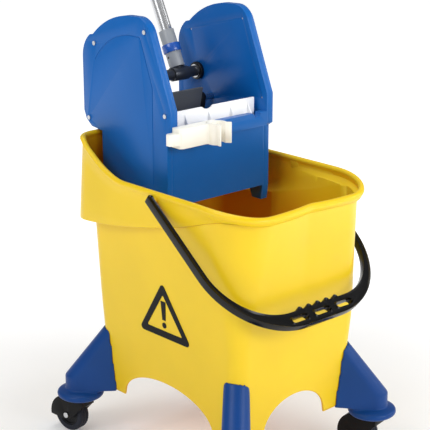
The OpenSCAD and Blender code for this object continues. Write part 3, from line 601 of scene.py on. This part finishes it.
rings += [between(lower(0, 1.4), under_rim(0, RIM_H), j / BLEND_ROWS) for j in range(1, BLEND_ROWS)]
rings.append(under_rim(0, RIM_H))
ROLL = 5
for a in range(-45, 226, 18):
    rings.append(under_rim(-1 + ROLL * math.cos(math.radians(a)), ROLL - ROLL * math.sin(math.radians(a))))
inner_top, inner_low = under_rim(-WALL, RIM_H), lower(-WALL, WALL, 1.0, 30)
rings += [between(inner_top, inner_low, j / BLEND_ROWS) for j in range(BLEND_ROWS + 1)]
rings += [lower(-WALL, WALL, 0.8, 20), lower(-WALL, WALL, 0.5, 11), lower(-WALL, WALL, 0.2, 4)]
rings += [lower(-WALL, WALL, 0.0)]
rings += [level(z, -WALL) for z in (350, 310, 270, 230, 200, 175, 168)]
rings += [level(163, -WALL - 1), level(160.6, -WALL - 3.5), level(FLOOR_Z, -WALL - 7)]


def tidied(mesh, weld=0.0):
    form = bmesh.new()
    form.from_mesh(mesh)
    if weld:
        bmesh.ops.remove_doubles(form, verts=form.verts, dist=weld)
    bmesh.ops.recalc_face_normals(form, faces=form.faces)
    form.to_mesh(mesh)
    form.free()
    return mesh


def skin(name, rows):
    size = len(rows[0])
    points = [(x * MM, y * MM + tank_y, z * MM) for row in rows for x, y, z in row]
    faces = []
    for j in range(len(rows) - 1):
        for k in range(size):
            nxt = (k + 1) % size
            faces.append((j * size + k, j * size + nxt, (j + 1) * size + nxt, (j + 1) * size + k))
    faces.append(tuple(reversed(range(size))))
    faces.append(tuple((len(rows) - 1) * size + k for k in range(size)))
    mesh = bpy.data.meshes.new(name)
    mesh.from_pydata(points, [], faces)
    return link(name, tidied(mesh))


tank = skin("tank", rings)
smooth(tank, 50)
settle(tank, "bucket")
print("tank of", len(tank.data.polygons), "faces")

# %% [markdown]
# ## Feet
# Each foot is a separate blue moulding with a round bumper flange. Remeshing the plain part into
# small even squares and easing them rounds its edges and fills the corner above the flange.

# %% Feet
def eased(node, voxel, rounds):
    piece = link(node + "_moulded", part_mesh(node, node + "_moulded"))
    remesh = piece.modifiers.new("even", "REMESH")
    remesh.mode = "VOXEL"
    remesh.voxel_size = voxel
    ease = piece.modifiers.new("ease", "SMOOTH")
    ease.factor = 0.5
    ease.iterations = rounds
    apply_modifiers(piece)
    smooth(piece, 80)
    return settle(piece, node)


for corner in CORNERS:
    eased("foot_" + corner, 1.8 * MM, 4)
print("four feet")

# %% [markdown]
# ## Wheels
# A tyre is a lathe turning: its outline is spun about the axle. Two grooves run round the tread.

# %% Lathe
def lathe(name, outline, centre, axis, steps=64):
    """Spins (radius, distance along the axis) points, in millimetres, into a closed ring or rod."""
    turn = Vector((0, 0, 1)).rotation_difference(Vector(axis)).to_matrix().to_4x4()
    move = Matrix.Translation(centre) @ turn
    points = []
    for k in range(steps):
        a = 2 * math.pi * k / steps
        points += [move @ Vector((r * math.cos(a) * MM, r * math.sin(a) * MM, h * MM)) for r, h in outline]
    size = len(outline)
    faces = [(k * size + j, ((k + 1) % steps) * size + j, ((k + 1) % steps) * size + (j + 1) % size,
              k * size + (j + 1) % size) for k in range(steps) for j in range(size)]
    mesh = bpy.data.meshes.new(name)
    mesh.from_pydata(points, [], faces)
    piece = link(name, tidied(mesh, 1e-7))
    smooth(piece)
    return piece


def arc(cx, cy, r, start, end, steps):
    turns = [math.radians(blend(start, end, k / steps)) for k in range(steps + 1)]
    return [(cx + r * math.cos(a), cy + r * math.sin(a)) for a in turns]


# %% Tyres
WHEEL_R, HUB_R, HALF_W = 31, 21, 11
joint_of = {joint["child"]: joint for joint in frame["joints"]}
tread = [(HUB_R, -HALF_W + 1)] + arc(WHEEL_R - 4, 4 - HALF_W, 4, -90, 0, 6)
GROOVE_DEPTH = 0.8
for groove in (-3, 3):
    tread += [(WHEEL_R, groove - 1), (WHEEL_R - GROOVE_DEPTH, groove - 0.5),
              (WHEEL_R - GROOVE_DEPTH, groove + 0.5), (WHEEL_R, groove + 1)]
tread += arc(WHEEL_R - 4, HALF_W - 4, 4, 0, 90, 6) + [(HUB_R, HALF_W - 1)]
for corner in CORNERS:
    axle = joint_of["wheel_" + corner]
    settle(lathe("tread_" + corner, tread, Vector(axle["pos_m"]), axle["axis"]), "tyre_" + corner)
print("four tyres, each", 2 * WHEEL_R, "mm across")

# %% [markdown]
# ## Bail
# The bail is a flat glossy hoop. A channel is sunk into both faces between two rails,
# which keeps the moulding thin and stiff. An inset of its own flat faces makes the rails
# follow its outline and its finger bumps at an even width.

# %% Bail
def sunk_faces(node, normal, inset, depth, edge):
    piece = link(node + "_moulded", part_mesh(node, node + "_moulded"))
    form = bmesh.new()
    form.from_mesh(piece.data)
    form.normal_update()
    for s in (1, -1):
        faces = [f for f in form.faces if f.normal.dot(normal) * s > 0.999 and f.calc_area() > 200 * MM * MM]
        bmesh.ops.inset_region(form, faces=faces, thickness=inset, depth=-depth, use_even_offset=True)
    form.to_mesh(piece.data)
    form.free()
    bevel = piece.modifiers.new("edges", "BEVEL")
    bevel.width = edge
    bevel.segments = 3
    bevel.limit_method = "ANGLE"
    bevel.angle_limit = math.radians(40)
    apply_modifiers(piece)
    smooth(piece)
    return settle(piece, node)


BAIL_REST = math.radians(38.5)
bail_normal = Vector((0, -math.sin(BAIL_REST), math.cos(BAIL_REST)))
bail = sunk_faces("bail", bail_normal, 2.6 * MM, 2.2 * MM, 1.2 * MM)
print("bail of", len(bail.data.polygons), "faces")

# %% [markdown]
# ## Grip
# The lever ends in a soft sleeve with rings for the fingers. It is turned like the tyres, and its
# rings are a cosine along the sleeve, which keeps them round with no sharp line.

# %% Grip
lever = joint_of["lever"]
shaft = Vector(lever["pos_m"])
shaft.x = sum(corner[0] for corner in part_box("lever_grip")) / 2   # the lever stands to one side
LEVER_LEAN = math.radians(26)
along = Vector((0, math.sin(LEVER_LEAN), math.cos(LEVER_LEAN)))
GRIP_R, GRIP_LEN, LEVER_LEN, TUBE_R = 14, 115, 375, 11
RIPPLES, RIPPLE_STEPS, RIPPLED = 8, 8, 84
sleeve = [(TUBE_R, LEVER_LEN - GRIP_LEN)]
sleeve += arc(GRIP_R - 2, LEVER_LEN - GRIP_LEN + 2, 2, -90, 0, 4)
for k in range(RIPPLES * RIPPLE_STEPS):
    h = LEVER_LEN - GRIP_LEN + 8 + RIPPLED * k / (RIPPLES * RIPPLE_STEPS)
    sleeve.append((GRIP_R - 0.6 + 0.6 * math.cos(2 * math.pi * k / RIPPLE_STEPS), h))
sleeve += arc(0, LEVER_LEN - GRIP_R, GRIP_R, 0, 90, 12)
sleeve += [(0, LEVER_LEN - GRIP_R), (TUBE_R, LEVER_LEN - GRIP_R)]
settle(lathe("grip_sleeve", sleeve, shaft, along), "lever_grip")
print("grip of", GRIP_LEN, "mm")

# %% [markdown]
# ## Parts that keep their own shape
# Screws, the spring and the tube are right as they are; they take their finish and smooth shading.
# Faces that meet at more than 35 degrees keep a crisp line between them.

# %% Remaining parts
for name, node in NODES.items():
    node.data.materials.clear()
    node.data.materials.append(FINISH[SLOT[name]])
    smooth(node, 35)
print("finishes on", len(NODES), "parts")
